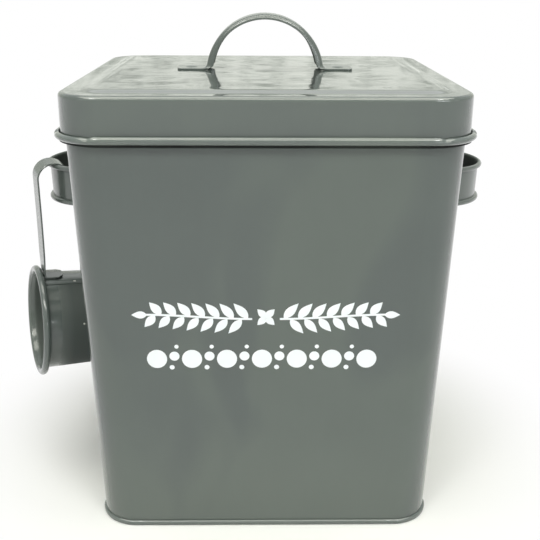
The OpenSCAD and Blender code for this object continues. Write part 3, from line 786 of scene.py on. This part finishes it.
def loop_ring(station):
    p, n, bead, half = station
    t = STRAP_SHEET
    start = degrees(acos(max(-1, min(1, (t - bead) / bead))))
    core = half - (0.0 if bead > 0.5 else bead)
    top = [(bead + bead * cos(radians(a)), core + bead * sin(radians(a)))
           for a in [180 - (180 + start) * i / 12 for i in range(13)]]
    drop = 1.0 * smooth((bead - 0.45) / (ROLL_R - 0.45))
    low = [(o, -z - drop) for o, z in reversed(top)]
    outline = [(0, -core * 0.5), (0, 0), (0, core * 0.5)] + top + [(t, core * 0.4), (t, 0), (t, -core * 0.4)] + low
    return [Vector((p.x + n.x * o, p.y + n.y * o, z)) for o, z in outline]


# Painted shade at each point of a side handle's section: the inner face is darkened
LOOP_SHADE = [-4.0] * 3 + [-4.0, -3.0, -2.0, -1.0] + [0.0] * 21 + [-1.0, -2.0, -3.0, -4.0]


def side_handle(name, side, node):
    place = wall_place(side)
    half = loop_path()
    other = [(Vector((p.x, -p.y)), Vector((n.x, -n.y)), bead, h) for p, n, bead, h in reversed(half[1:])]
    rows = [[place @ v for v in loop_ring(station)] for station in other + half]
    shade = LOOP_SHADE * len(rows)
    return piece(name, *closed_tube(rows), HANDLE_ENAMEL, "tin", [node], edge=shade, crease=50)


def side_rivets(name, side, node):
    tab_half = LOOP_H / 2 - LOOP_BEAD - 0.5
    tab_end = LOOP_R * sin(acos((LOOP_INSET + STRAP_SHEET) / LOOP_R)) + TAB_LEN
    y = tab_end - tab_half
    places = [wall_place(side) @ Matrix.Translation((STRAP_SHEET, s * y, 0)) @ Matrix.Rotation(pi / 2, 4, "Y")
              for s in (-1, 1)]
    return rivets(name, places, "tin", node)


# The scoop


def hanging():
    """Moves the scoop, drawn with its cup along x and its mouth at x = 0, to where it hangs, and
    gives the hook's centre in the drawing."""
    slope = tan(LEAN)
    strip_x = CUP_RIM + STRAP_SHEET / 2 + 0.2
    hook_z = HOOK_TOP - HOOK_R
    hook_x = strip_x - (hook_z - CUP_R) * tan(radians(STRIP_LEAN)) + HOOK_R - STRAP_SHEET / 2
    bead_top = LOOP_Z + LOOP_H / 2 * cos(LEAN) + LOOP_BEAD
    bead_c = LOOP_R - STRAP_SHEET + LOOP_BEAD
    x = -(BASE_HALF + bead_top * slope + sqrt(bead_c ** 2 - HANG_Y ** 2) - LOOP_INSET)
    z = bead_top + HANG_GAP
    off_x = CUP_L - hook_x
    off_z = HOOK_TOP - STRAP_SHEET
    wall = BASE_HALF + (z - off_z) * slope + HANG_GAP
    swing, roll = radians(SWING), radians(ROLL)
    tilt = 0.0
    for i in range(2):
        reach = off_z * sin(roll) * sin(swing) - x - wall - CUP_BASE_R * sin(acos(cos(swing) * cos(tilt)))
        tilt = acos(reach / cos(swing) / hypot(off_x, off_z)) - atan2(off_z, off_x)
    place = (Matrix.Translation((x, -LOOP_Y - HANG_Y, z)) @ Matrix.Rotation(swing, 4, "Z")
             @ Matrix.Rotation(tilt, 4, "Y") @ Matrix.Rotation(roll, 4, "X")
             @ Matrix.Translation((-hook_x, 0, STRAP_SHEET - HOOK_TOP)))
    return place, strip_x, hook_x, hook_z


HUNG, STRIP_X, HOOK_X, HOOK_Z = hanging()
ALONG_CUP = HUNG @ Matrix.Rotation(pi / 2, 4, "Y")


def scoop_cup():
    c = CUP_R + CUP_RIM
    wall = [(CUP_R - (CUP_R - CUP_BASE_R) * z / CUP_L, z) for z in (3, 8, 16, 24, CUP_L - 0.4)]
    outline = arc(c, 0, CUP_RIM, 115, -180, 30)
    outline += [(CUP_R - SHEET - 0.02, 1.0)] + [(r - SHEET, z) for r, z in wall]
    outline += [(wall[-1][0] - SHEET * 0.5, CUP_L)] + list(reversed(wall)) + [(CUP_R - 0.02, 1.75)]
    outline += arc(c, 0, CUP_RIM - SHEET, 152, 120, 3)
    verts, faces = turned(outline, 96, ALONG_CUP)
    # Painted shade: the inside of the cup is painted darker
    shade = [-2.0 if z > 1.5 and r < CUP_R - SHEET * 0.9 else 0.0 for r, z in outline for k in range(96)]
    return piece("scoop_cup_shell", verts, faces, SCOOP_ENAMEL, "tin", ["scoop_cup"], edge=shade, crease=50)


def scoop_lap():
    """The lapped seam under the strip's foot: a second layer with a soft bead along its front edge."""
    rows = []
    slope = (CUP_R - CUP_BASE_R) / CUP_L
    for i in range(21):
        a = radians(-21 + 33 * i / 20)
        row = []
        step = 0.3 + 0.2 * smooth(1 - abs(i - 1) / 2)
        for z in (CUP_RIM + 0.6, 8, 16, 24, CUP_L - 1):
            r = CUP_R - slope * z
            row.append((r + step, z, a))
        for z in (CUP_L - 1, 24, 16, 8, CUP_RIM + 0.6):
            r = CUP_R - slope * z
            row.append((r - 0.2, z, a))
        rows.append([ALONG_CUP @ Vector((-r * cos(a), r * sin(a), z)) for r, z, a in row])
    return piece("scoop_lap_seam", *closed_tube(rows), SCOOP_ENAMEL, "tin", crease=50)


def scoop_base():
    inner = CUP_BASE_R - SHEET - 0.05
    z = CUP_L - CUP_FLANGE
    outline = [(0.02, z - 0.25), (inner * 0.5, z - 0.22), (inner * 0.8, z - 0.1), (inner - 1.6, z),
               (inner - 0.6, z + 0.15), (inner, z + 0.7), (inner, CUP_L), (inner - SHEET, CUP_L),
               (inner - SHEET, z + 0.9), (inner - 1.2, z + SHEET), (inner * 0.5, z + SHEET - 0.2),
               (0.02, z + SHEET - 0.22)]
    verts, faces = turned(outline, 72, ALONG_CUP)
    return piece("scoop_base_disc", verts, faces, SCOOP_ENAMEL, "tin", ["scoop_base"], "base_enamel", crease=60)


def strip_path():
    """Places along the strip, from the end of its foot to the end of the hook: a point in x and z
    of its middle layer, the way its outer face looks, and its half width."""
    half = STRIP_W / 2
    seat = CUP_R + SHEET + 0.05 + STRAP_SHEET / 2
    bend = 1.3
    found = []
    foot_end = STRIP_X - STRAP_SHEET / 2 + STRIP_FOOT
    chamfer = 2.6
    for i in range(4):
        found.append((Vector((foot_end - chamfer * i / 3, seat)), Vector((0, 1)), half - chamfer * (1 - i / 3)))
    for x in (foot_end - 5, STRIP_X + bend + 1):
        found.append((Vector((x, seat)), Vector((0, 1)), half))
    lean = radians(STRIP_LEAN)
    for i in range(7):
        a = radians(-90) - (pi / 2 - lean) * i / 6
        point = Vector((STRIP_X + bend, seat + bend)) + bend * Vector((cos(a), sin(a)))
        found.append((point, -Vector((cos(a), sin(a))), half))
    low = found[-1][0]
    mid_r = HOOK_R - STRAP_SHEET / 2 - HOOK_IN
    hook_z = HOOK_Z + HOOK_IN
    high = Vector((HOOK_X - mid_r, hook_z))
    for i in range(1, 16):
        t = i / 16
        bow = 0.2 * sin(pi * t)
        face = Vector(((high - low).y, -(high - low).x)).normalized()
        found.append((low.lerp(high, t) + face * bow, face, half))
    for i in range(37):
        a = radians(180 - (90 + HOOK_TURN + HOOK_TIP) * i / 36)
        left = (90 + HOOK_TURN + HOOK_TIP) * (1 - i / 36) * radians(1) * mid_r
        r = 2.2
        width = half - r + sqrt(max(0, r * r - max(0, r - left) ** 2)) if left < r else half
        found.append((Vector((HOOK_X, hook_z)) + mid_r * Vector((cos(a), sin(a))),
                      -Vector((cos(a), sin(a))), width))
    return found


def strip_ring(station):
    p, n, half = station
    t = STRAP_SHEET / 2
    twist = tan(radians(STRIP_TWIST * smooth((p.y - CUP_R) / 15)))
    round_r = p.y
    wrap = 1 - smooth((p.y - CUP_R - 1) / 4)
    soft = 0.25
    outline = [(-half, t - soft), (-half + soft, t), (-half / 3, t), (half / 3, t), (half - soft, t),
               (half, t - soft), (half, soft - t), (half - soft, -t), (half / 3, -t), (-half / 3, -t),
               (-half + soft, -t), (-half, soft - t)]
    return [HUNG @ Vector((p.x + n.x * o + y * twist, y,
                           p.y + n.y * o - wrap * (round_r - sqrt(round_r ** 2 - y ** 2)))) for y, o in outline]


def cut(target, cutter):
    """Cuts one mesh from another for good."""
    target.data.update()
    modifier = target.modifiers.new("hole", "BOOLEAN")
    modifier.object = cutter
    modifier.operation = "DIFFERENCE"
    modifier.solver = "EXACT"
    graph = bpy.context.evaluated_depsgraph_get()
    mesh = bpy.data.meshes.new_from_object(target.evaluated_get(graph))
    target.modifiers.clear()
    target.data = mesh
    bpy.data.objects.remove(cutter)


def scoop_handle():
    rows = [strip_ring(station) for station in strip_path()]
    made = piece("scoop_hook_strip", *closed_tube(rows), SCOOP_ENAMEL, "tin", ["scoop_handle"], crease=40)
    hole_a = 90 - HOOK_TURN - HOOK_TIP + 16
    place = (HUNG @ Matrix.Translation((HOOK_X, 0, HOOK_Z)) @ Matrix.Rotation(radians(90 - hole_a), 4, "Y"))
    r = HOLE_D / 2
    verts, faces = turned([(0.01, HOOK_R - 3), (r, HOOK_R - 3), (r, HOOK_R + 2), (0.01, HOOK_R + 2)], 24, place)
    mesh = bpy.data.meshes.new("hole_cutter")
    mesh.from_pydata([v * MM for v in verts], [], faces)
    cutter = bpy.data.objects.new("hole_cutter", mesh)
    bpy.context.scene.collection.objects.link(cutter)
    cut(made, cutter)
    return made


# The print on the front: a plain garland over a row of bubbles


PRINT_T = 0.06


def on_front(x, z):
    """A point of the front wall, a film's thickness out from it."""
    y = BASE_HALF + z * tan(LEAN)
    s = CENTRE * (1 - abs(x) / (y - CORNER))
    return Vector((x, -y - wall_wave(x, -y, z, s) - PRINT_T, z))


def flat_shape(outline):
    """A flat shape on the front wall from points in x and z, as a fan round its middle."""
    mx = sum(p[0] for p in outline) / len(outline)
    mz = sum(p[1] for p in outline) / len(outline)
    verts = [on_front(mx, mz)] + [on_front(x, z) for x, z in outline]
    n = len(outline)
    return verts, [(0, 1 + i, 1 + (i + 1) % n) for i in range(n)]


def leaf(x, z, length, width, angle):
    c, s = cos(radians(angle)), sin(radians(angle))
    side = [(length * t, width * sin(pi * t ** 0.8)) for t in [i / 10 for i in range(11)]]
    outline = side + [(u, -v) for u, v in reversed(side[1:-1])]
    return flat_shape([(x + u * c - v * s, z + u * s + v * c) for u, v in outline])


def bubble(x, z, r):
    return flat_shape([(x + r * cos(2 * pi * i / 28), z + r * sin(2 * pi * i / 28)) for i in range(28)])


def garland():
    shapes = []
    mid_z, half = 127.0, 64.0
    stem = 0.55
    for side in (-1, 1):
        steps = 24
        line = [(side * (7 + (half - 9) * i / steps), mid_z - 1.2 + 2.4 * smooth(i / steps))
                for i in range(steps + 1)]
        for a, b in zip(line, line[1:]):
            shapes.append(flat_shape([(a[0], a[1] - stem), (b[0], b[1] - stem), (b[0], b[1] + stem),
                                      (a[0], a[1] + stem)]))
        for i in range(7):
            x = side * (9 + 7.3 * i)
            z = mid_z - 1.2 + 2.4 * smooth((abs(x) - 7) / (half - 9))
            size = 11.0 - 0.35 * i
            angle = 48
            shapes.append(leaf(x, z + 0.4, size, 2.3, angle if side > 0 else 180 - angle))
            shapes.append(leaf(x + side * 3.2, z - 0.4, size * 0.94, 2.2, -angle if side > 0 else 180 + angle))
        shapes.append(leaf(side * (half - 4), mid_z + 1.1, 8.0, 2.0, 0 if side > 0 else 180))
    for k in range(4):
        shapes.append(leaf(0, mid_z - 0.2, 6.2, 1.9, 90 * k + 45))
    return shapes


def bubbles():
    shapes = []
    mid_x, mid_z = -2.0, 103.7
    for i in range(-6, 7):
        x = mid_x + i * 9.0
        if i % 2 == 0:
            shapes.append(bubble(x, mid_z - 0.4, 5.2))
        else:
            shapes.append(bubble(x, mid_z + 1.2, 2.6))
            shapes.append(bubble(x - 1.4, mid_z - 5.2, 1.3))
            shapes.append(bubble(x + 1.2, mid_z + 6.6, 1.1))
    return shapes


def front_print():
    return piece("front_print", *joined(*garland(), *bubbles()), PRINT, "tin", crease=180)


# Light, floor and camera


def area_light(name, place, aim, size, power, color=(1, 1, 1)):
    data = bpy.data.lights.new(name, "AREA")
    data.shape = "RECTANGLE"
    data.size, data.size_y = size
    data.energy = power
    data.color = color
    lamp = bpy.data.objects.new(name, data)
    lamp.location = place
    lamp.rotation_euler = (Vector(aim) - Vector(place)).to_track_quat("-Z", "Y").to_euler()
    bpy.context.scene.collection.objects.link(lamp)


def seen_rays(tree):
    """1 for rays that show a surface to the camera, straight or by way of a gloss or glass."""
    path = add(tree, "ShaderNodeLightPath")
    direct = add(tree, "ShaderNodeMath", operation="MAXIMUM")
    link(tree, path.outputs["Is Camera Ray"], direct.inputs[0])
    link(tree, path.outputs["Is Glossy Ray"], direct.inputs[1])
    seen = add(tree, "ShaderNodeMath", operation="MAXIMUM")
    link(tree, direct.outputs[0], seen.inputs[0])
    link(tree, path.outputs["Is Transmission Ray"], seen.inputs[1])
    return seen.outputs[0]


def studio():
    """A pale sky, as soft folds above the level of the eye, with soft lamps."""
    world = bpy.data.worlds.new("studio")
    bpy.context.scene.world = world
    world.use_nodes = True
    tree = world.node_tree
    sky = tree.nodes["Background"]
    way = add(tree, "ShaderNodeTexCoord")
    tall = add(tree, "ShaderNodeVectorMath", operation="MULTIPLY")
    link(tree, way.outputs["Generated"], tall.inputs[0])
    tall.inputs[1].default_value = (1, 1, 2.6)
    folds = add(tree, "ShaderNodeTexNoise", Scale=30.0, Detail=5.0, Roughness=0.68, Distortion=0.6)
    link(tree, tall.outputs[0], folds.inputs["Vector"])
    height = add(tree, "ShaderNodeSeparateXYZ")
    link(tree, way.outputs["Generated"], height.inputs[0])
    share = add(tree, "ShaderNodeValToRGB")
    link(tree, height.outputs["Z"], share.inputs["Fac"])
    share.color_ramp.elements[0].position = 0.004
    share.color_ramp.elements[0].color = (0, 0, 0, 1)
    share.color_ramp.elements[1].position = 0.012
    share.color_ramp.elements[1].color = (1, 1, 1, 1)
    for place, level in ((0.34, 1), (0.46, 0)):
        share.color_ramp.elements.new(place).color = (level, level, level, 1)
    tones = add(tree, "ShaderNodeValToRGB")
    link(tree, folds.outputs["Fac"], tones.inputs["Fac"])
    tones.color_ramp.elements[0].position = 0.38
    tones.color_ramp.elements[0].color = (0.30, 0.33, 0.29, 1)
    tones.color_ramp.elements[1].position = 0.56
    tones.color_ramp.elements[1].color = (0.97, 1.0, 0.92, 1)
    blend = add(tree, "ShaderNodeMix", data_type="RGBA")
    link(tree, share.outputs["Color"], blend.inputs["Factor"])
    blend.inputs[6].default_value = (0.84, 0.87, 0.85, 1)
    link(tree, tones.outputs["Color"], blend.inputs[7])
    backdrop = add(tree, "ShaderNodeMix", data_type="RGBA")
    link(tree, add(tree, "ShaderNodeLightPath").outputs["Is Camera Ray"], backdrop.inputs["Factor"])
    link(tree, blend.outputs[2], backdrop.inputs[6])
    backdrop.inputs[7].default_value = (1, 1, 1, 1)
    link(tree, backdrop.outputs[2], sky.inputs["Color"])
    strength = add(tree, "ShaderNodeMapRange")
    link(tree, seen_rays(tree), strength.inputs["Value"])
    strength.inputs["To Min"].default_value = 0.12
    strength.inputs["To Max"].default_value = 1.0
    link(tree, strength.outputs["Result"], sky.inputs["Strength"])
    area_light("front_soft", (0, -0.95, 1.25), (0, 0, 0.2), (2.2, 0.42), 14, (1.0, 0.99, 0.89))
    area_light("high_soft", (0, -0.15, 1.5), (0, 0, 0.2), (2.2, 0.6), 16, (1.0, 0.99, 0.89))
    area_light("back_soft", (0, 1.5, 1.3), (0, 0, 0.2), (1.8, 0.5), 1.2)
    area_light("right_low", (0.75, -1.2, 0.42), (0, 0, 0.2), (0.8, 0.06), 2.2, (0.94, 0.97, 1.0))
    area_light("left_spark", (-0.5, -0.88, 1.15), (-0.08, -0.1, 0.22), (0.26, 0.18), 2.2)
    area_light("right_spark", (0.5, -0.88, 1.15), (0.08, -0.1, 0.22), (0.26, 0.18), 2.2)
    area_light("left_side", (-1.3, -0.9, 0.5), (0, 0, 0.2), (0.3, 0.6), 0.4)
    area_light("right_side", (1.4, -0.7, 0.5), (0, 0, 0.2), (0.3, 0.6), 0.4)


def floor():
    mesh = bpy.data.meshes.new("floor")
    r = 8.0
    mesh.from_pydata([(-r, -r, 0), (r, -r, 0), (r, r, 0), (-r, r, 0)], [], [(0, 1, 2, 3)])
    made, tree, shader = new_material("pale_floor")
    place = add(tree, "ShaderNodeTexCoord")
    tone = add(tree, "ShaderNodeTexNoise", Scale=3.0, Detail=2.0)
    link(tree, place.outputs["Object"], tone.inputs["Vector"])
    ramp = add(tree, "ShaderNodeMapRange")
    link(tree, tone.outputs["Fac"], ramp.inputs["Value"])
    ramp.inputs["To Min"].default_value = 0.55
    ramp.inputs["To Max"].default_value = 0.65
    link(tree, ramp.outputs["Result"], shader.inputs["Roughness"])
    shader.inputs["Base Color"].default_value = (0.93, 0.94, 0.93, 1)
    shader.inputs["Specular IOR Level"].default_value = 0.2
    far = add(tree, "ShaderNodeVectorMath", operation="LENGTH")
    link(tree, place.outputs["Object"], far.inputs[0])
    fade = add(tree, "ShaderNodeMapRange", interpolation_type="SMOOTHSTEP")
    link(tree, far.outputs["Value"], fade.inputs["Value"])
    fade.inputs["From Min"].default_value = 0.09
    fade.inputs["From Max"].default_value = 0.22
    share = add(tree, "ShaderNodeMath", operation="MULTIPLY")
    link(tree, fade.outputs["Result"], share.inputs[0])
    link(tree, seen_rays(tree), share.inputs[1])
    white = add(tree, "ShaderNodeEmission", Strength=1.0)
    white.inputs["Color"].default_value = (1, 1, 1, 1)
    mixed = add(tree, "ShaderNodeMixShader")
    link(tree, share.outputs[0], mixed.inputs["Fac"])
    link(tree, shader.outputs[0], mixed.inputs[1])
    link(tree, white.outputs[0], mixed.inputs[2])
    link(tree, mixed.outputs[0], tree.nodes["Material Output"].inputs["Surface"])
    mesh.materials.append(made)
    ground = bpy.data.objects.new("floor", mesh)
    bpy.context.scene.collection.objects.link(ground)


CAMERA_AT = Vector((-0.004692, -0.492706, 0.292521))
CAMERA_YAW = -0.95
CAMERA_DOWN = 19.44
CAMERA_ROLL = 0.32
CAMERA_LENS = 56.67


def camera():
    data = bpy.data.cameras.new("camera")
    data.lens = CAMERA_LENS
    data.sensor_width = 36.0
    data.clip_start, data.clip_end = 0.01, 50
    made = bpy.data.objects.new("camera", data)
    bpy.context.scene.collection.objects.link(made)
    turn = (Matrix.Rotation(radians(CAMERA_YAW), 4, "Z") @ Matrix.Rotation(radians(90 - CAMERA_DOWN), 4, "X")
            @ Matrix.Rotation(radians(CAMERA_ROLL), 4, "Z"))
    made.matrix_world = Matrix.Translation(CAMERA_AT) @ turn
    bpy.context.scene.camera = made


camera()
studio()
floor()
tin_body()
back_seam()
base_plate()
lid()
lid_handle()
lid_rivets()
side_handle("side_handle_left_strap", -1, "side_handle_left")
side_handle("side_handle_right_strap", 1, "side_handle_right")
side_rivets("side_handle_left_rivets", -1, "side_rivets_left")
side_rivets("side_handle_right_rivets", 1, "side_rivets_right")
scoop_cup()
scoop_lap()
scoop_base()
scoop_handle()
front_print()

bpy.context.scene.view_settings.view_transform = "Standard"
